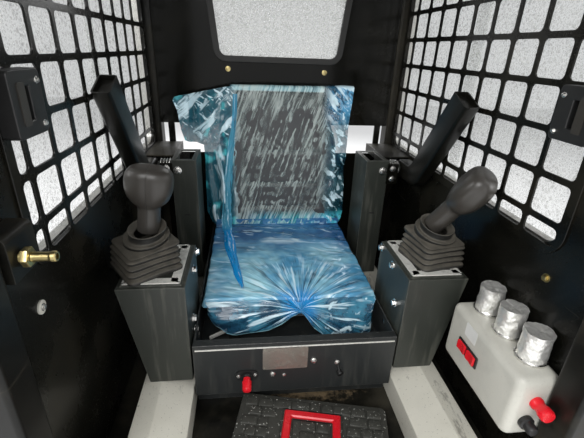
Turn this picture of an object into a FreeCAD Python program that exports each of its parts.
import FreeCAD, Part
import math
import os
from FreeCAD import Vector

# Operator's cab of a skid steer loader, in millimetres.
# +X is the operator's left, -Y is the front that the operator faces, +Z is up.
# The origin is on the ground line below the middle of the shell.
# A piece with one of its kind on each side is drawn for the +X side and mirrored.

os.makedirs("parts", exist_ok=True)

# Shell
CAB_LENGTH = 1090.0
CAB_WIDTH = 940.0
CAB_HEIGHT = 1340.0
TUBE = 60.0                 # square posts and roof rails
TUBE_WALL = 5.0
TUBE_CORNER = 8.0
PANEL_INSET = 35.0          # from the shell's side to the inner face of a side panel
SIDE_SHEET = 6.0
BASE_RAIL_HEIGHT = 24.0
BASE_RAIL_WIDTH = 50.0
FLOOR_SHEET = 6.0
BOLT_INSET_X = 60.0         # the four bolts that hold the cab down, from the shell's edges
BOLT_INSET_Y = 95.0
BOLT_HOLE = 8.5
TILT_BORE = 12.5            # bores at the rear, on which the cab tilts up
TILT_Z = 70.0
ROOF_SHEET = 4.0
ROOF_RIB_HEIGHT = 6.0
ROOF_RIB_WIDTH = 40.0
ROOF_RIB_PITCH = 150.0
ROOF_RIB_COUNT = 5

# Side windows, their screens and sliding panes
WINDOW_FRONT_EDGE = 118.0   # from the front post to the window
WINDOW_REAR_EDGE = 25.0     # from the window to the rear post
WINDOW_BOTTOM = 546.0
WINDOW_TOP_EDGE = 55.0      # from the window to the roof rail
WINDOW_CORNER = 30.0
CHANNEL_WIDTH = 25.0        # sash channel round a side window
CHANNEL_DEPTH = 18.0
SASH_BITE = 12.0            # how far a pane sits in its channel
PANE = 4.4
PANE_PLAY = 0.3
PANE_GAP = 3.2              # between the two tracks
PANE_OVERLAP = 60.0
SCREEN_SHEET = 4.0
SCREEN_BORDER = 20.0
SCREEN_BAR = 12.0
SCREEN_PITCH_Y = 85.0
SCREEN_PITCH_Z = 78.2
# side sign, rearmost upright bar ahead of the window's rear, lowest cross bar above its bottom
SCREEN_GRIDS = {-1: (115.0, 49.4), 1: (61.0, 39.4)}

# Latch boxes on the side windows, and the bracket with a brass stud on the right
LATCH_AHEAD = 20.0          # of the window's front edge
LATCH_LENGTH = 82.0
LATCH_BOTTOM = 733.0
LATCH_HEIGHT = 88.0
LATCH_DEPTH = 24.0
LATCH_ROUND = 8.0
LATCH_SLOT = (14.0, 44.0, 12.0)     # width, height, depth
BRACKET_FROM_POST = 3.0
BRACKET_LENGTH = 66.0
BRACKET_BOTTOM = 574.0
BRACKET_HEIGHT = 64.0
BRACKET_DEPTH = 31.0
BRACKET_WALL = 4.0
BRACKET_ROUND = 10.0
STUD_HEX = 12.0             # across two corners, halved
STUD_HEX_LENGTH = 14.0
STUD_RADIUS = 7.0
STUD_BORE = 4.0
STUD_LENGTH = 30.0
STUD_SETBACK = 24.0         # behind the bracket's front
STUD_HEIGHT = 27.0          # above the bracket's foot

# Rear wall
REAR_INSET = 55.0           # from the shell's rear to the inner face of the rear panel
REAR_SHEET = 6.0
REAR_PANEL_BOTTOM = 605.0
REAR_LOWER_TOP = 500.0
REAR_GLASS_BOTTOM = 820.0
REAR_GLASS_TOP_EDGE = 70.0
REAR_GLASS_EDGE_BOTTOM = 264.0      # from the shell's side to the glass
REAR_GLASS_EDGE_TOP = 220.0
REAR_GLASS_CORNER = 34.0
REAR_GLASS = 5.0
SEAL_LIP = 10.0
SEAL_DEPTH = 16.0
STRUT_EDGE = 23.0           # from the rear post to a strut
STRUT_WIDTH = 22.0

# Control pods beside the footwell, boots and levers
FOOTWELL = 320.0            # from the front opening to the pods and the seat base
POD_FROM_PANEL = 45.0
POD_WIDTH = 143.0
POD_LENGTH = 195.0
POD_TOP = 390.0
POD_FOOT_TAPER = 45.0       # how far the outer side leans in towards its foot
POD_WALL = 3.0
POD_RIM = 4.0               # raised rim that the boot clamps under
POD_RIM_EDGE = 9.0
POD_WELL = 80.0             # square hole below the boot
BOOT_SIDE = 104.0
BOOT_SHIFT = 12.0           # outwards from the pod's middle
LEVER_FOOT = 92.0           # above the pod
LEVER_RADIUS = 24.0
BOOT_BORE_PLAY = 4.0

# Seat base and the ledges in front of the pods
BASE_GAP = 4.0              # between the base and a pod
BASE_REAR_GAP = 10.0
BASE_TOP = 230.0
BASE_DECK = 144.0
BASE_WALL = 4.0
BASE_LIP = 22.0
KICK_HEIGHT = 48.0
KICK_DEPTH = 30.0
LEDGE_FROM_PANEL = 73.0
LEDGE_FLAT = 44.0
LEDGE_TOP = 130.0
LEDGE_DROP = 6.0            # fall of the flat towards the panel
LEDGE_SHOULDER = 96.0
LEDGE_REAR_GAP = 110.0      # to the rear panel
LEDGE_WALL = 4.0

# Towers and the lap bars that swing on them
TOWER_FROM_PANEL = 95.0
TOWER_WIDTH = 74.0
TOWER_LENGTH = 140.0
TOWER_REAR_GAP = 120.0      # to the rear panel
TOWER_TOP = 540.0
TOWER_WALL = 4.0
TOWER_LIP = 14.0
PIVOT_SETBACK = 26.0        # from the tower's front
PIVOT_DROP = 28.0           # below the tower's top
PIVOT_RADIUS = 9.0
PIVOT_PLAY = 0.05
PIVOT_BOSS = 18.0
BOSS_GAP = 0.5
BAR_FROM_PANEL = 10.0
BAR_WIDTH = 42.0
BAR_DEPTH = 56.0
BAR_REACH = 380.0
BAR_RAISE = 40.0            # degrees above level, as it stands
BAR_WALL = 4.0
BAR_CORNER = 7.0
BAR_CAP_INSET = 3.0
SHELF_SHEET = 5.0
SHELF_SETBACK = 60.0        # from the tower's front
SHELF_FLANGE = 30.0

# Seat
SEAT_GAP = 18.0             # between the cushion and a base wall
CUSHION_SETBACK = 143.0     # from the base's front
CUSHION_REAR_GAP = 120.0    # to the rear panel
CUSHION_BOTTOM = 174.0
CUSHION_TOP = 256.0
CUSHION_ROUND = 26.0
BACK_REAR_GAP = 116.0       # from the backrest's face to the rear panel
BACK_THICK = 62.0
BACK_TOP = 735.0
BACK_SINK = 6.0             # how far the backrest reaches below the cushion's top
BACK_LEAN = 4.0             # degrees
BACK_SHOULDER = 300.0       # height where its sides start to run in
BACK_SIDE_TAPER = 6.0
BACK_TOP_TAPER = 75.0
BACK_CORNER = 24.0
FILM = 1.5
FILM_PLAY = 0.6
FILM_HEM = 6.0              # above the cushion's foot
RAIL_FROM_WALL = 93.0
RAIL_WIDTH = 30.0
RAIL_HEIGHT = 18.0
RAIL_FRONT_GAP = 75.0
RAIL_REAR_GAP = 90.0
SLIDER_PLAY = 0.3
SLIDER_WALL = 3.0
SLIDER_LIFT = 6.0
SLIDER_FRONT = 60.0         # behind the cushion's front
PAN_SHEET = 5.0
PAN_INSET = 20.0
PAN_FRONT = 30.0
EAR_INSET = 30.0            # upright ears of the pan behind the backrest
EAR_SHEET = 8.0
EAR_HEIGHT = 120.0
EAR_DEPTH = 38.0

# Switch box on the left side panel
BOX_DEPTH = 85.0
BOX_LENGTH = 236.0
BOX_POST_GAP = 1.0
BOX_BOTTOM = 210.0
BOX_TOP = 350.0
BOX_ROUND = 14.0
CAP_RADIUS = 27.0
CAP_HEIGHT = 62.0
CAP_FACETS = 20
CAP_PITCH = 70.0
CAP_FROM_PANEL = 30.0
CAP_AHEAD = 6.0             # middle cap behind the middle of the box
COLLAR_WIDTH = 2.0
COLLAR_HEIGHT = 6.0
ROCKER_FRAME = (72.0, 28.0, 4.0)    # length, height, depth
ROCKER_KEY = (26.0, 20.0, 5.0)
ROCKER_SPREAD = 17.0
ROCKER_FROM_REAR = 90.0
ROCKER_RISE = 70.0
BUTTON = (13.0, 34.0, 52.0)         # radius, length, below the top
KNOB = (14.0, 26.0, 98.0)
KNOB_SHIFT = 8.0

# Release knob on the seat base
RELEASE_FROM_SIDE = 123.0
RELEASE_FLANGE = (54.0, 32.0, 4.0)  # width, height, depth
RELEASE_HEIGHT = 106.0              # of the flange's middle above the floor
RELEASE_STEM = 8.0
RELEASE_RADIUS = 11.0
RELEASE_REACH = 42.0
RELEASE_FALL = 12.0

# Floor pad with its lifting handle
PAD_TURN = -12.5            # degrees
PAD_FROM_SIDE = 115.0       # rear corner from the base's side
PAD_UNDER = 13.0            # how far that corner reaches below the base's front
PAD_END_GAP = 70.0
PAD_SIDE_GAP = 136.0
PAD_HEIGHT = 40.0
PAD_CORNER_RADIUS = 12.0
PAD_BLOCK_PITCH = (40.0, 32.0)      # raised blocks, at least this far apart across and along
PAD_BLOCK_GAP = 6.0
PAD_BLOCK_HEIGHT = 4.0
HANDLE_WIDTH = 132.0
HANDLE_LENGTH = 100.0
HANDLE_BAR = 18.0
HANDLE_HEIGHT = 12.0
HANDLE_SETBACK = 40.0
HANDLE_GAP = 4.0
PAD_RECESS = 5.0

# Places that follow from the sizes above
HALF_LENGTH = CAB_LENGTH / 2
HALF_WIDTH = CAB_WIDTH / 2
POST_INNER = HALF_WIDTH - TUBE
PANEL_END = HALF_LENGTH - TUBE
SIDE_INNER = HALF_WIDTH - PANEL_INSET
SCREEN_INNER = SIDE_INNER - SCREEN_SHEET
FLOOR_TOP = BASE_RAIL_HEIGHT + FLOOR_SHEET
RAIL_TOP = CAB_HEIGHT - ROOF_SHEET - ROOF_RIB_HEIGHT
RAIL_FOOT = RAIL_TOP - TUBE
WINDOW_FRONT = WINDOW_FRONT_EDGE - PANEL_END
WINDOW_REAR = PANEL_END - WINDOW_REAR_EDGE
WINDOW_TOP = RAIL_FOOT - WINDOW_TOP_EDGE
REAR_FACE = HALF_LENGTH - REAR_INSET
REAR_GLASS_TOP = RAIL_FOOT - REAR_GLASS_TOP_EDGE
POD_OUTER = SIDE_INNER - POD_FROM_PANEL
POD_INNER = POD_OUTER - POD_WIDTH
POD_FRONT = FOOTWELL - HALF_LENGTH
POD_REAR = POD_FRONT + POD_LENGTH
BOOT_X = (POD_INNER + POD_OUTER) / 2 + BOOT_SHIFT
BOOT_Y = (POD_FRONT + POD_REAR) / 2
BASE_HALF = POD_INNER - BASE_GAP
BASE_FRONT = POD_FRONT
BASE_REAR = REAR_FACE - BASE_REAR_GAP
LEDGE_INNER = POD_INNER
LEDGE_OUTER = SIDE_INNER - LEDGE_FROM_PANEL
LEDGE_RIDGE = LEDGE_OUTER - LEDGE_FLAT
LEDGE_REAR = REAR_FACE - LEDGE_REAR_GAP
TOWER_OUTER = SIDE_INNER - TOWER_FROM_PANEL
TOWER_INNER = TOWER_OUTER - TOWER_WIDTH
TOWER_REAR = REAR_FACE - TOWER_REAR_GAP
TOWER_FRONT = TOWER_REAR - TOWER_LENGTH
PIVOT_Y = TOWER_FRONT + PIVOT_SETBACK
PIVOT_Z = TOWER_TOP - PIVOT_DROP
BAR_OUTER = SIDE_INNER - BAR_FROM_PANEL
BAR_INNER = BAR_OUTER - BAR_WIDTH
SEAT_HALF = BASE_HALF - SEAT_GAP
CUSHION_FRONT = BASE_FRONT + CUSHION_SETBACK
CUSHION_REAR = REAR_FACE - CUSHION_REAR_GAP
BACK_FRONT = REAR_FACE - BACK_REAR_GAP
BACK_BOTTOM = CUSHION_TOP - BACK_SINK
RAIL_X = BASE_HALF - RAIL_FROM_WALL
BOX_INNER = SIDE_INNER - BOX_DEPTH
BOX_FRONT = BOX_POST_GAP - PANEL_END
BOX_REAR = BOX_FRONT + BOX_LENGTH
PAD_X = PAD_FROM_SIDE - BASE_HALF
PAD_Y = BASE_FRONT + PAD_UNDER
PAD_LENGTH = FOOTWELL - PAD_END_GAP
PAD_WIDTH = 2 * BASE_HALF - PAD_SIDE_GAP
SIDES = (("right", -1), ("left", 1))


def box(x0, x1, y0, y1, z0, z1):
    return Part.makeBox(x1 - x0, y1 - y0, z1 - z0, Vector(x0, y0, z0))


def cylinder(radius, start, end):
    a, b = Vector(*start), Vector(*end)
    return Part.makeCylinder(radius, (b - a).Length, a, b - a)


def wire(points, radius=0.0):
    """A closed outline, each corner rounded by the same radius."""
    pts = [Vector(*p) for p in points]
    if radius <= 0:
        return Part.makePolygon(pts + [pts[0]])
    edges, ends = [], []
    for i, p in enumerate(pts):
        a = (pts[i - 1] - p).normalize()
        b = (pts[(i + 1) % len(pts)] - p).normalize()
        half = a.getAngle(b) / 2
        reach = radius / math.tan(half)
        middle = p + (a + b).normalize() * (radius / math.sin(half) - radius)
        ends.append((p + a * reach, middle, p + b * reach))
    for i, (start, middle, stop) in enumerate(ends):
        edges.append(Part.Arc(start, middle, stop).toShape())
        following = ends[(i + 1) % len(ends)][0]
        if (following - stop).Length > 1e-6:
            edges.append(Part.makeLine(stop, following))
    return Part.Wire(edges)


def prism(points, along, radius=0.0):
    return Part.Face(wire(points, radius)).extrude(Vector(*along))


def fuse(pieces):
    first, rest = pieces[0], pieces[1:]
    return first.multiFuse(rest).removeSplitter() if rest else first


def mirrored(shape, side):
    return shape if side > 0 else shape.mirror(Vector(0, 0, 0), Vector(1, 0, 0))


def save(name, shape):
    shape.exportStep("parts/" + name + ".step")


def tube_along(axis, start, length, low):
    """A square tube with rounded corners; low is its low corner in the two other axes."""
    def profile(inset, corner):
        lo, hi = inset, TUBE - inset
        flat = ((lo, lo), (hi, lo), (hi, hi), (lo, hi))
        if axis == "Z":
            pts = [(low[0] + a, low[1] + b, start) for a, b in flat]
            way = (0, 0, length)
        elif axis == "Y":
            pts = [(low[0] + a, start, low[1] + b) for a, b in flat]
            way = (0, length, 0)
        else:
            pts = [(start, low[0] + a, low[1] + b) for a, b in flat]
            way = (length, 0, 0)
        return prism(pts, way, corner)
    return profile(0, TUBE_CORNER).cut(profile(TUBE_WALL, 0))


def front_post():
    return tube_along("Z", 0, RAIL_FOOT, (POST_INNER, -HALF_LENGTH))


def rear_post():
    y = HALF_LENGTH - TUBE / 2
    bore = cylinder(TILT_BORE, (POST_INNER, y, TILT_Z), (HALF_WIDTH, y, TILT_Z))
    return tube_along("Z", 0, RAIL_FOOT, (POST_INNER, PANEL_END)).cut(bore)


def roof_frame():
    rails = []
    for x in (-HALF_WIDTH, POST_INNER):
        rails.append(tube_along("Y", -HALF_LENGTH, CAB_LENGTH, (x, RAIL_FOOT)))
    for y in (-HALF_LENGTH, PANEL_END):
        rails.append(tube_along("X", -POST_INNER, 2 * POST_INNER, (y, RAIL_FOOT)))
    return fuse(rails)


def roof_panel():
    sheet = box(-HALF_WIDTH, HALF_WIDTH, -HALF_LENGTH, HALF_LENGTH, RAIL_TOP, RAIL_TOP + ROOF_SHEET)
    z = RAIL_TOP + ROOF_SHEET
    ribs = []
    for i in range(ROOF_RIB_COUNT):
        x = (i - (ROOF_RIB_COUNT - 1) / 2) * ROOF_RIB_PITCH
        half = ROOF_RIB_WIDTH / 2
        section = ((x - half, -PANEL_END, z), (x + half, -PANEL_END, z),
                   (x + half - ROOF_RIB_HEIGHT, -PANEL_END, CAB_HEIGHT),
                   (x - half + ROOF_RIB_HEIGHT, -PANEL_END, CAB_HEIGHT))
        ribs.append(prism(section, (0, 2 * PANEL_END, 0)))
    return fuse([sheet] + ribs)


def bolt_holes():
    x, y = HALF_WIDTH - BOLT_INSET_X, HALF_LENGTH - BOLT_INSET_Y
    corners = ((-x, -y), (x, -y), (x, y), (-x, y))
    return [cylinder(BOLT_HOLE, (a, b, 0), (a, b, FLOOR_TOP)) for a, b in corners]


def base_frame():
    rails = []
    for x in (-SIDE_INNER, SIDE_INNER - BASE_RAIL_WIDTH):
        rails.append(box(x, x + BASE_RAIL_WIDTH, -PANEL_END, PANEL_END, 0, BASE_RAIL_HEIGHT))
    for y in (-PANEL_END, -BASE_RAIL_WIDTH / 2, PANEL_END - BASE_RAIL_WIDTH):
        rails.append(box(-SIDE_INNER, SIDE_INNER, y, y + BASE_RAIL_WIDTH, 0, BASE_RAIL_HEIGHT))
    return fuse(rails).cut(bolt_holes())


def floor_plate():
    sheet = box(-SIDE_INNER, SIDE_INNER, -PANEL_END, PANEL_END, BASE_RAIL_HEIGHT, FLOOR_TOP)
    tongue = box(-POST_INNER, POST_INNER, -HALF_LENGTH, -PANEL_END, BASE_RAIL_HEIGHT, FLOOR_TOP)
    return fuse([sheet, tongue]).cut(bolt_holes())


def window_block(grow, x0, x1):
    y0, y1 = WINDOW_FRONT - grow, WINDOW_REAR + grow
    z0, z1 = WINDOW_BOTTOM - grow, WINDOW_TOP + grow
    pts = ((x0, y0, z0), (x0, y1, z0), (x0, y1, z1), (x0, y0, z1))
    return prism(pts, (x1 - x0, 0, 0), WINDOW_CORNER + grow)


def track_place(track):
    return SIDE_INNER + SIDE_SHEET + PANE_GAP / 2 + track * (PANE + PANE_GAP)


def side_panel():
    outer = SIDE_INNER + SIDE_SHEET
    sheet = box(SIDE_INNER, outer, -PANEL_END, PANEL_END, 0, RAIL_FOOT)
    channel = window_block(CHANNEL_WIDTH, outer, outer + CHANNEL_DEPTH)
    solid = sheet.fuse(channel).cut(window_block(0, SIDE_INNER, outer + CHANNEL_DEPTH))
    tracks = []
    for track in (0, 1):
        x0 = track_place(track) - PANE_PLAY
        tracks.append(window_block(SASH_BITE + PANE_PLAY, x0, x0 + PANE + 2 * PANE_PLAY))
    return solid.cut(tracks)


def pane(track):
    """One of the two sliding panes: track 0 holds the rear one, track 1 the front one."""
    x0 = track_place(track)
    middle = (WINDOW_FRONT + WINDOW_REAR) / 2
    if track == 0:
        keep = (middle - PANE_OVERLAP / 2, WINDOW_REAR + SASH_BITE)
    else:
        keep = (WINDOW_FRONT - SASH_BITE, middle + PANE_OVERLAP / 2)
    full = window_block(SASH_BITE, x0, x0 + PANE)
    return full.common(box(x0, x0 + PANE, keep[0], keep[1], 0, CAB_HEIGHT))


def screen_lines(first, step, last, way):
    """Bar places from the first one by the pitch, as long as they stay short of the last edge."""
    lines = []
    while (last - first) * way > SCREEN_BAR:
        lines.append(first)
        first += way * step
    return lines


def screen(side):
    """Punched plate: its cells are holes in one flat face."""
    from_rear, from_bottom = SCREEN_GRIDS[side]
    half = SCREEN_BAR / 2
    uprights = screen_lines(WINDOW_REAR - from_rear, SCREEN_PITCH_Y, WINDOW_FRONT, -1)
    crosses = screen_lines(WINDOW_BOTTOM + from_bottom, SCREEN_PITCH_Z, WINDOW_TOP, 1)
    columns = [WINDOW_REAR + half] + uprights + [WINDOW_FRONT - half]
    rows = [WINDOW_BOTTOM - half] + crosses + [WINDOW_TOP + half]
    x = SCREEN_INNER
    cells = []
    for rear, front in zip(columns, columns[1:]):
        for low, high in zip(rows, rows[1:]):
            y0, y1, z0, z1 = front + half, rear - half, low + half, high - half
            cells.append(wire(((x, y0, z0), (x, y1, z0), (x, y1, z1), (x, y0, z1))))
    g = SCREEN_BORDER
    y0, y1, z0, z1 = WINDOW_FRONT - g, WINDOW_REAR + g, WINDOW_BOTTOM - g, WINDOW_TOP + g
    border = wire(((x, y0, z0), (x, y1, z0), (x, y1, z1), (x, y0, z1)), WINDOW_CORNER + g)
    return Part.makeFace([border] + cells, "Part::FaceMakerBullseye").extrude(Vector(SCREEN_SHEET, 0, 0))


def latch_box():
    y0 = WINDOW_FRONT - LATCH_AHEAD
    x0, z1 = SCREEN_INNER - LATCH_DEPTH, LATCH_BOTTOM + LATCH_HEIGHT
    pts = ((x0, y0, LATCH_BOTTOM), (x0, y0 + LATCH_LENGTH, LATCH_BOTTOM), (x0, y0 + LATCH_LENGTH, z1),
           (x0, y0, z1))
    width, height, depth = LATCH_SLOT
    ym, zm = y0 + LATCH_LENGTH / 2, LATCH_BOTTOM + LATCH_HEIGHT / 2
    slot = box(x0, x0 + depth, ym - width / 2, ym + width / 2, zm - height / 2, zm + height / 2)
    return prism(pts, (LATCH_DEPTH, 0, 0), LATCH_ROUND).cut(slot)


def stud_bracket():
    """A folded cover whose rear and floor side stay open, on the wall ahead of the window."""
    y0 = BRACKET_FROM_POST - PANEL_END
    x0, x1 = SIDE_INNER - BRACKET_DEPTH, SIDE_INNER
    z0, z1 = BRACKET_BOTTOM, BRACKET_BOTTOM + BRACKET_HEIGHT
    w = BRACKET_WALL
    outline = ((x0, y0, z0), (x1, y0, z0), (x1, y0, z1), (x0, y0, z1))
    block = prism(outline, (0, BRACKET_LENGTH, 0))
    upper = [e for e in block.Edges if e.BoundBox.ZMin > z1 - 1 and e.BoundBox.XMax < x0 + 1]
    block = block.makeFillet(BRACKET_ROUND, upper)
    hollow = box(x0 + w, x1, y0 + w, y0 + BRACKET_LENGTH, z0, z1 - BRACKET_ROUND)
    stud_hole = cylinder(STUD_RADIUS, (x0, stud_y(), stud_z()), (x0 + w, stud_y(), stud_z()))
    return block.cut([hollow, stud_hole])


def stud_y():
    return BRACKET_FROM_POST - PANEL_END + STUD_SETBACK


def stud_z():
    return BRACKET_BOTTOM + STUD_HEIGHT


def brass_stud():
    x0 = SIDE_INNER - BRACKET_DEPTH
    y, z = stud_y(), stud_z()
    turn = math.radians(60)
    corners = [(x0 - STUD_HEX_LENGTH, y + STUD_HEX * math.cos(i * turn), z + STUD_HEX * math.sin(i * turn))
               for i in range(6)]
    nut = prism(corners, (STUD_HEX_LENGTH, 0, 0))
    end = x0 - STUD_HEX_LENGTH - STUD_LENGTH
    tube = cylinder(STUD_RADIUS, (end, y, z), (x0 + BRACKET_WALL, y, z))
    return fuse([nut, tube]).cut(cylinder(STUD_BORE, (end, y, z), (x0, y, z)))


def rear_block(grow, y0, y1):
    low_half, high_half = HALF_WIDTH - REAR_GLASS_EDGE_BOTTOM, HALF_WIDTH - REAR_GLASS_EDGE_TOP
    slope = (high_half - low_half) / (REAR_GLASS_TOP - REAR_GLASS_BOTTOM)
    low, high = low_half + (1 - slope) * grow, high_half + (1 + slope) * grow
    z0, z1 = REAR_GLASS_BOTTOM - grow, REAR_GLASS_TOP + grow
    pts = ((-low, y0, z0), (low, y0, z0), (high, y0, z1), (-high, y0, z1))
    return prism(pts, (0, y1 - y0, 0), REAR_GLASS_CORNER + grow)


def rear_panel():
    sheet = box(-POST_INNER, POST_INNER, REAR_FACE, REAR_FACE + REAR_SHEET, REAR_PANEL_BOTTOM, RAIL_FOOT)
    return sheet.cut(rear_block(0, REAR_FACE, REAR_FACE + REAR_SHEET))


def rear_glass():
    y0 = REAR_FACE + (REAR_SHEET - REAR_GLASS) / 2
    return rear_block(-SEAL_LIP / 2, y0, y0 + REAR_GLASS)


def rear_seal():
    y0 = REAR_FACE + (REAR_SHEET - SEAL_DEPTH) / 2
    ring = rear_block(SEAL_LIP, y0, y0 + SEAL_DEPTH).cut(rear_block(-SEAL_LIP, y0, y0 + SEAL_DEPTH))
    return ring.cut([rear_panel(), rear_glass()])


def rear_lower_panel():
    sheet = box(-POST_INNER, POST_INNER, REAR_FACE, REAR_FACE + REAR_SHEET, FLOOR_TOP, REAR_LOWER_TOP)
    outer = POST_INNER - STRUT_EDGE
    struts = []
    for x in (-outer, outer - STRUT_WIDTH):
        struts.append(box(x, x + STRUT_WIDTH, REAR_FACE, REAR_FACE + REAR_SHEET,
                          REAR_LOWER_TOP, REAR_PANEL_BOTTOM))
    return fuse([sheet] + struts)


def ledge():
    w, top, low = LEDGE_WALL, LEDGE_TOP, LEDGE_TOP - LEDGE_DROP
    outer = ((LEDGE_INNER, FLOOR_TOP), (LEDGE_INNER, LEDGE_SHOULDER), (LEDGE_RIDGE, top),
             (LEDGE_OUTER, low), (LEDGE_OUTER, FLOOR_TOP))
    inner = ((LEDGE_INNER + w, FLOOR_TOP), (LEDGE_INNER + w, LEDGE_SHOULDER - w), (LEDGE_RIDGE, top - w),
             (LEDGE_OUTER - w, low - w), (LEDGE_OUTER - w, FLOOR_TOP))
    along = (0, LEDGE_REAR + PANEL_END, 0)
    shell = prism([(x, -PANEL_END, z) for x, z in outer], along)
    return shell.cut(prism([(x, -PANEL_END, z) for x, z in inner], along))


def pod():
    """A folded sheet box with a raised rim on top, open below where it stands on the ledge."""
    def block(w, top):
        foot = POD_OUTER - POD_FOOT_TAPER
        pts = ((POD_INNER + w, POD_FRONT + w, LEDGE_TOP), (foot - w, POD_FRONT + w, LEDGE_TOP),
               (POD_OUTER - w, POD_FRONT + w, top), (POD_INNER + w, POD_FRONT + w, top))
        return prism(pts, (0, POD_LENGTH - 2 * w, 0))
    e, z, half = POD_RIM_EDGE, POD_TOP, POD_WELL / 2
    rim = box(POD_INNER + e, POD_OUTER - e, POD_FRONT + e, POD_REAR - e, z, z + POD_RIM)
    well = box(BOOT_X - half, BOOT_X + half, BOOT_Y - half, BOOT_Y + half, z - POD_WALL, z + POD_RIM)
    return fuse([block(0, z), rim]).cut([block(POD_WALL, z - POD_WALL), well])


def rounded_ring(half_x, half_y, corner, up):
    """Twelve points of a rounded rectangle; a ring's sides are parallel to every other ring's."""
    points = []
    for quarter in range(4):
        sx = 1 if quarter in (0, 3) else -1
        sy = 1 if quarter in (0, 1) else -1
        for step in range(3):
            turn = math.radians(90 * quarter + 45 * step)
            points.append((sx * (half_x - corner) + corner * math.cos(turn),
                           sy * (half_y - corner) + corner * math.sin(turn), up))
    return points


def stack(rings):
    """A solid through rings of points, with flat four-sided faces from ring to ring."""
    faces = [Part.Face(wire(rings[0])), Part.Face(wire(rings[-1]))]
    for low, high in zip(rings, rings[1:]):
        for i in range(len(low)):
            faces.append(Part.Face(wire((low[i - 1], low[i], high[i], high[i - 1]))))
    solid = Part.Solid(Part.Shell(faces))
    if solid.Volume < 0:
        solid.reverse()
    return solid


# share of the boot's half width, height above the rim, corner radius
BOOT_PLEATS = ((1.00, 0, 11), (1.00, 9, 11), (0.87, 15, 13), (0.99, 22, 12), (0.85, 29, 14), (0.97, 36, 13),
               (0.83, 43, 15), (0.95, 50, 14), (0.82, 57, 16), (0.93, 63, 15), (0.88, 68, 16))
# radius, height above the rim, height of the ring
BOOT_COLLARS = ((47.0, 66.0, 14.0), (41.0, 80.0, 22.0))
# side sign, degrees about the upright, as the loose boots stand
BOOT_TURNS = {-1: 36.0, 1: 12.0}


def boot(side):
    cx, z = side * BOOT_X, POD_TOP + POD_RIM
    rings = []
    for share, up, corner in BOOT_PLEATS:
        half = share * BOOT_SIDE / 2
        rings.append(rounded_ring(half, half, corner, up))
    pleats = stack(rings)
    turn = FreeCAD.Rotation(Vector(0, 0, 1), BOOT_TURNS[side])
    pleats.Placement = FreeCAD.Placement(Vector(cx, BOOT_Y, z), turn)
    collars = [cylinder(r, (cx, BOOT_Y, z + up), (cx, BOOT_Y, z + up + h)) for r, up, h in BOOT_COLLARS]
    top = z + BOOT_COLLARS[-1][1] + BOOT_COLLARS[-1][2]
    bore = cylinder(LEVER_RADIUS + BOOT_BORE_PLAY, (cx, BOOT_Y, POD_TOP + LEVER_FOOT), (cx, BOOT_Y, top))
    return fuse([pleats] + collars).cut([bore, lever(side)])


# side sign, from the lever's foot to the middle of its top: outwards, back, up
LEVER_TOPS = {-1: (-18.0, -8.0, 146.0), 1: (64.0, -72.0, 148.0)}
# side sign, degrees about the lever's own line
GRIP_TURNS = {-1: 0.0, 1: 60.0}
# share of the grip's length, half width across, half depth, corner radius
GRIP = ((0.00, 24, 24, 20), (0.40, 24, 24, 20), (0.46, 33, 27, 24), (0.54, 43, 31, 27), (0.66, 47, 34, 30),
        (0.82, 47, 34, 30), (0.93, 43, 31, 28), (1.00, 33, 22, 18))


def lever(side):
    """A hand grip: round at its neck, wide at its head, along a line that leans with the lever."""
    reach = Vector(LEVER_TOPS[side][0] * side, LEVER_TOPS[side][1], LEVER_TOPS[side][2])
    rings = [rounded_ring(a, b, corner, share * reach.Length) for share, a, b, corner in GRIP]
    up = Vector(0, 0, 1)
    turn = FreeCAD.Rotation(up, reach).multiply(FreeCAD.Rotation(up, GRIP_TURNS[side]))
    grip = stack(rings)
    grip.Placement = FreeCAD.Placement(Vector(side * BOOT_X, BOOT_Y, POD_TOP + LEVER_FOOT), turn)
    return grip


def tower():
    """A folded channel, open to the rear, with a lip round its top and the lap bar's pin."""
    w = TOWER_WALL
    shell = box(TOWER_INNER, TOWER_OUTER, TOWER_FRONT, TOWER_REAR, LEDGE_TOP, TOWER_TOP)
    inside = box(TOWER_INNER + w, TOWER_OUTER - w, TOWER_FRONT + w, TOWER_REAR, LEDGE_TOP, TOWER_TOP - w)
    mouth = box(TOWER_INNER + TOWER_LIP, TOWER_OUTER - TOWER_LIP, TOWER_FRONT + TOWER_LIP,
                TOWER_REAR - TOWER_LIP, TOWER_TOP - w, TOWER_TOP)
    boss = cylinder(PIVOT_BOSS, (TOWER_OUTER - w, PIVOT_Y, PIVOT_Z), (BAR_INNER - BOSS_GAP, PIVOT_Y, PIVOT_Z))
    pin = cylinder(PIVOT_RADIUS, (TOWER_OUTER, PIVOT_Y, PIVOT_Z), (BAR_OUTER, PIVOT_Y, PIVOT_Z))
    return fuse([shell.cut([inside, mouth]), boss, pin])


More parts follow.
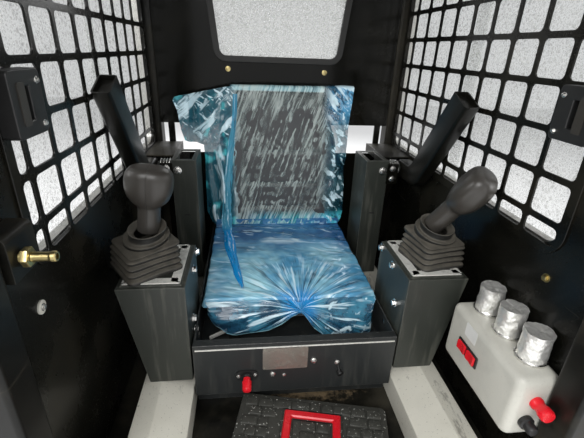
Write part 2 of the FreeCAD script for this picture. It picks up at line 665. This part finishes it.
def lap_bar():
    """A box-section arm with an inset end plate; its round end swings on the tower's pin."""
    half, w = BAR_DEPTH / 2, BAR_WALL

    def run(start, end, inset, corner):
        x0, x1 = BAR_INNER + inset, BAR_OUTER - inset
        z0, z1 = PIVOT_Z - half + inset, PIVOT_Z + half - inset
        section = ((x0, start, z0), (x1, start, z0), (x1, start, z1), (x0, start, z1))
        return prism(section, (0, end - start, 0), corner)

    tip = PIVOT_Y - BAR_REACH
    arm = run(PIVOT_Y - half, tip, 0, BAR_CORNER)
    eye = cylinder(half, (BAR_INNER, PIVOT_Y, PIVOT_Z), (BAR_OUTER, PIVOT_Y, PIVOT_Z))
    heel = box(BAR_INNER, BAR_OUTER, PIVOT_Y - half, PIVOT_Y, PIVOT_Z - half, PIVOT_Z + half)
    pocket = run(tip + BAR_CAP_INSET, tip, w, BAR_CORNER - w)
    hollow = run(PIVOT_Y - half - w, tip + BAR_CAP_INSET + w, w, BAR_CORNER - w)
    bore = cylinder(PIVOT_RADIUS + PIVOT_PLAY, (BAR_INNER, PIVOT_Y, PIVOT_Z), (BAR_OUTER, PIVOT_Y, PIVOT_Z))
    solid = fuse([arm, heel, eye]).cut([pocket, hollow, bore])
    solid.rotate(Vector(0, PIVOT_Y, PIVOT_Z), Vector(1, 0, 0), -BAR_RAISE)
    return solid


def shelf():
    """A plate from the tower to the wall, turned down at its inner and front edges."""
    y0, top = TOWER_FRONT + SHELF_SETBACK, TOWER_TOP
    plate = box(TOWER_OUTER, SCREEN_INNER, y0, PANEL_END, top - SHELF_SHEET, top)
    flange = box(TOWER_OUTER, TOWER_OUTER + SHELF_SHEET, TOWER_REAR, REAR_FACE, top - SHELF_FLANGE, top)
    return fuse([plate, flange])


def seat_base():
    """An open tray on a box, with a toe recess at its front foot and a lip along the tray's front."""
    w, f = BASE_WALL, BASE_FRONT
    outer = box(-BASE_HALF, BASE_HALF, f, BASE_REAR, FLOOR_TOP, BASE_TOP)
    inner = BASE_HALF - w
    tray = box(-inner, inner, f + w, BASE_REAR, BASE_DECK, BASE_TOP)
    below = box(-inner, inner, f + KICK_DEPTH + w, BASE_REAR - w, FLOOR_TOP, BASE_DECK - w)
    toe = FLOOR_TOP + KICK_HEIGHT
    above_toe = box(-inner, inner, f + w, f + KICK_DEPTH + w, toe + w, BASE_DECK - w)
    kick = box(-BASE_HALF, BASE_HALF, f, f + KICK_DEPTH, FLOOR_TOP, toe)
    lip = box(-BASE_HALF, BASE_HALF, f, f + BASE_LIP, BASE_TOP - w, BASE_TOP)
    return fuse([outer.cut([tray, below, above_toe, kick]), lip])


def seat_rails():
    rails = []
    for side in (-1, 1):
        x = side * RAIL_X - RAIL_WIDTH / 2
        rails.append(box(x, x + RAIL_WIDTH, BASE_FRONT + RAIL_FRONT_GAP, REAR_FACE - RAIL_REAR_GAP,
                         BASE_DECK, BASE_DECK + RAIL_HEIGHT))
    return Part.makeCompound(rails)


def seat_pan():
    """The plate below the cushion, with sliders round the rails and two ears behind the backrest."""
    top = CUSHION_BOTTOM
    under = top - PAN_SHEET
    rear = CUSHION_REAR + EAR_DEPTH + PAN_INSET
    pieces = [box(-SEAT_HALF + PAN_INSET, SEAT_HALF - PAN_INSET, CUSHION_FRONT + PAN_FRONT, rear, under, top)]
    y0, y1 = CUSHION_FRONT + SLIDER_FRONT, CUSHION_REAR - PAN_INSET
    for side in (-1, 1):
        x, half = side * RAIL_X, RAIL_WIDTH / 2 + SLIDER_PLAY
        foot, roof = BASE_DECK + SLIDER_LIFT, BASE_DECK + RAIL_HEIGHT + SLIDER_PLAY
        outer = box(x - half - SLIDER_WALL, x + half + SLIDER_WALL, y0, y1, foot, under)
        inner = box(x - half, x + half, y0, y1, foot, roof)
        pieces.append(outer.cut(inner))
        x = side * (SEAT_HALF - EAR_INSET) - EAR_SHEET / 2
        pieces.append(box(x, x + EAR_SHEET, rear - EAR_DEPTH, rear, top, top + EAR_HEIGHT))
    return fuse(pieces).cut(seat_backrest())


def seat_cushion():
    solid = box(-SEAT_HALF, SEAT_HALF, CUSHION_FRONT, CUSHION_REAR, CUSHION_BOTTOM, CUSHION_TOP)
    front = [e for e in solid.Edges if e.BoundBox.ZLength > 1 and e.BoundBox.YMax < CUSHION_FRONT + 1]
    solid = solid.makeFillet(CUSHION_ROUND, front)
    rim = [e for e in solid.Edges if e.BoundBox.ZMin > CUSHION_TOP - 1]
    upper = [e for e in rim if e.BoundBox.YMin < CUSHION_REAR - 1]
    return solid.makeFillet(CUSHION_ROUND / 2, upper)


def back_block(grow, corner):
    half, top = SEAT_HALF + grow, SEAT_HALF - BACK_TOP_TAPER + grow
    waist = half - BACK_SIDE_TAPER
    y0, shoulder = BACK_FRONT - grow, BACK_BOTTOM + BACK_SHOULDER
    pts = ((-half, y0, BACK_BOTTOM), (half, y0, BACK_BOTTOM), (waist, y0, shoulder),
           (top, y0, BACK_TOP + grow), (-top, y0, BACK_TOP + grow), (-waist, y0, shoulder))
    block = prism(pts, (0, BACK_THICK + 2 * grow, 0), corner)
    block.rotate(Vector(0, BACK_FRONT, BACK_BOTTOM), Vector(1, 0, 0), -BACK_LEAN)
    return block


def seat_backrest():
    return back_block(0, BACK_CORNER)


def seat_film():
    """Thin film in one piece: a bag over the backrest and a skirt over the cushion."""
    play, skin = FILM_PLAY, FILM_PLAY + FILM
    bag = back_block(skin, BACK_CORNER).cut(back_block(play, BACK_CORNER))
    low, rear = CUSHION_BOTTOM + FILM_HEM, BACK_FRONT - play
    skirt = box(-SEAT_HALF - skin, SEAT_HALF + skin, CUSHION_FRONT - skin, rear, low, CUSHION_TOP + skin)
    hollow = box(-SEAT_HALF - play, SEAT_HALF + play, CUSHION_FRONT - play, rear, low, CUSHION_TOP + play)
    return fuse([bag, skirt.cut(hollow)])


def switch_box():
    x, y0, y1, z0, z1 = BOX_INNER, BOX_FRONT, BOX_REAR, BOX_BOTTOM, BOX_TOP
    outline = ((x, y0, z0), (x, y1, z0), (x, y1, z1), (x, y0, z1))
    return prism(outline, (BOX_DEPTH, 0, 0), BOX_ROUND)


def foil_caps():
    """Three sleeves of foil, pressed into facets, each on a collar."""
    x = SIDE_INNER - CAP_FROM_PANEL
    middle = (BOX_FRONT + BOX_REAR) / 2 + CAP_AHEAD

    def sleeve(radius, y, height):
        corners = []
        for i in range(CAP_FACETS):
            turn = 2 * math.pi * i / CAP_FACETS
            corners.append((x + radius * math.cos(turn), y + radius * math.sin(turn), BOX_TOP))
        return prism(corners, (0, 0, height))

    caps = []
    for i in (-1, 0, 1):
        y = middle + i * CAP_PITCH
        collar = sleeve(CAP_RADIUS + COLLAR_WIDTH, y, COLLAR_HEIGHT)
        caps.append(fuse([sleeve(CAP_RADIUS, y, CAP_HEIGHT), collar]))
    return Part.makeCompound(caps)


def rocker_switches():
    y, z = BOX_REAR - ROCKER_FROM_REAR, BOX_BOTTOM + ROCKER_RISE
    length, height, depth = ROCKER_FRAME
    x = BOX_INNER - depth
    frame = box(x, BOX_INNER, y - length / 2, y + length / 2, z - height / 2, z + height / 2)
    length, height, depth = ROCKER_KEY
    keys = []
    for side in (-1, 1):
        m = y + side * ROCKER_SPREAD
        section = ((x, m - length / 2, z - height / 2), (x, m + length / 2, z - height / 2),
                   (x - depth, m + length / 2, z - height / 2), (x - depth / 2, m, z - height / 2),
                   (x - depth, m - length / 2, z - height / 2))
        keys.append(prism(section, (0, 0, height)))
    return fuse([frame] + keys)


def box_knobs():
    middle = (BOX_INNER + SIDE_INNER) / 2
    shapes = []
    for x, (radius, length, drop) in ((middle, BUTTON), (middle - KNOB_SHIFT, KNOB)):
        z = BOX_TOP - drop
        shapes.append(cylinder(radius, (x, BOX_FRONT, z), (x, BOX_FRONT - length, z)))
    return Part.makeCompound(shapes)


def release_knob():
    x, z = RELEASE_FROM_SIDE - BASE_HALF, FLOOR_TOP + RELEASE_HEIGHT
    width, height, depth = RELEASE_FLANGE
    y = BASE_FRONT - depth
    flange = box(x - width / 2, x + width / 2, y, BASE_FRONT, z - height / 2, z + height / 2)
    stem = cylinder(RELEASE_STEM, (x, y, z), (x, y - RELEASE_REACH / 2, z - RELEASE_FALL / 2))
    knob = cylinder(RELEASE_RADIUS, (x, y - RELEASE_REACH / 3, z - RELEASE_FALL / 3),
                    (x, y - RELEASE_REACH, z - RELEASE_FALL))
    return fuse([flange, stem, knob])


def pad_turned(shape):
    shape.rotate(Vector(PAD_X, PAD_Y, 0), Vector(0, 0, 1), PAD_TURN)
    return shape


def handle_block(grow, z0, z1):
    """The handle's outline grown on all sides: a bar with two legs towards the front."""
    cx = PAD_X + PAD_WIDTH / 2
    rear = PAD_Y - HANDLE_SETBACK
    half, inner = HANDLE_WIDTH / 2 + grow, HANDLE_WIDTH / 2 - HANDLE_BAR - grow
    pts = ((cx - half, rear - HANDLE_LENGTH - grow), (cx - half, rear + grow), (cx + half, rear + grow),
           (cx + half, rear - HANDLE_LENGTH - grow), (cx + inner, rear - HANDLE_LENGTH - grow),
           (cx + inner, rear - HANDLE_BAR - grow), (cx - inner, rear - HANDLE_BAR - grow),
           (cx - inner, rear - HANDLE_LENGTH - grow))
    return prism([(x, y, z0) for x, y in pts], (0, 0, z1 - z0))


def floor_pad():
    """A moulded case lid: a rounded slab with rows of raised blocks and a bed for the handle."""
    top = FLOOR_TOP + PAD_HEIGHT
    base = top - PAD_BLOCK_HEIGHT
    pts = ((PAD_X, PAD_Y - PAD_LENGTH), (PAD_X + PAD_WIDTH, PAD_Y - PAD_LENGTH), (PAD_X + PAD_WIDTH, PAD_Y),
           (PAD_X, PAD_Y))
    slab = prism([(x, y, FLOOR_TOP) for x, y in pts], (0, 0, base - FLOOR_TOP), PAD_CORNER_RADIUS)
    flat_x, flat_y = PAD_WIDTH - 2 * PAD_CORNER_RADIUS, PAD_LENGTH - 2 * PAD_CORNER_RADIUS
    across, along = int(flat_x / PAD_BLOCK_PITCH[0]), int(flat_y / PAD_BLOCK_PITCH[1])
    step_x, step_y = flat_x / across, flat_y / along
    blocks = []
    for row in range(along):
        shift = PAD_CORNER_RADIUS + (row % 2) * step_x / 2
        for column in range(across - row % 2):
            x = PAD_X + shift + column * step_x
            y = PAD_Y - PAD_CORNER_RADIUS - (row + 1) * step_y
            blocks.append(box(x, x + step_x - PAD_BLOCK_GAP, y, y + step_y - PAD_BLOCK_GAP, base, top))
    bed = handle_block(HANDLE_GAP, base - PAD_RECESS, top)
    return pad_turned(fuse([slab] + blocks).cut(bed))


def pad_handle():
    base = FLOOR_TOP + PAD_HEIGHT - PAD_BLOCK_HEIGHT - PAD_RECESS
    return pad_turned(handle_block(0, base, base + HANDLE_HEIGHT))


def build():
    for name, side in SIDES:
        save(name + "_front_post", mirrored(front_post(), side))
        save(name + "_rear_post", mirrored(rear_post(), side))
        save(name + "_side_panel", mirrored(side_panel(), side))
        save(name + "_screen", mirrored(screen(side), side))
        save(name + "_rear_pane", mirrored(pane(0), side))
        save(name + "_front_pane", mirrored(pane(1), side))
        save(name + "_latch_box", mirrored(latch_box(), side))
        save(name + "_ledge", mirrored(ledge(), side))
        save(name + "_pod", mirrored(pod(), side))
        save(name + "_boot", boot(side))
        save(name + "_lever", lever(side))
        save(name + "_tower", mirrored(tower(), side))
        save(name + "_lap_bar", mirrored(lap_bar(), side))
        save(name + "_shelf", mirrored(shelf(), side))
    save("roof_frame", roof_frame())
    save("roof_panel", roof_panel())
    save("base_frame", base_frame())
    save("floor_plate", floor_plate())
    save("rear_panel", rear_panel())
    save("rear_glass", rear_glass())
    save("rear_seal", rear_seal())
    save("rear_lower_panel", rear_lower_panel())
    save("stud_bracket", mirrored(stud_bracket(), -1))
    save("brass_stud", mirrored(brass_stud(), -1))
    save("seat_base", seat_base())
    save("seat_rails", seat_rails())
    save("seat_pan", seat_pan())
    save("seat_cushion", seat_cushion())
    save("seat_backrest", seat_backrest())
    save("seat_film", seat_film())
    save("switch_box", switch_box())
    save("foil_caps", foil_caps())
    save("rocker_switches", rocker_switches())
    save("box_knobs", box_knobs())
    save("release_knob", release_knob())
    save("floor_pad", floor_pad())
    save("pad_handle", pad_handle())


build()
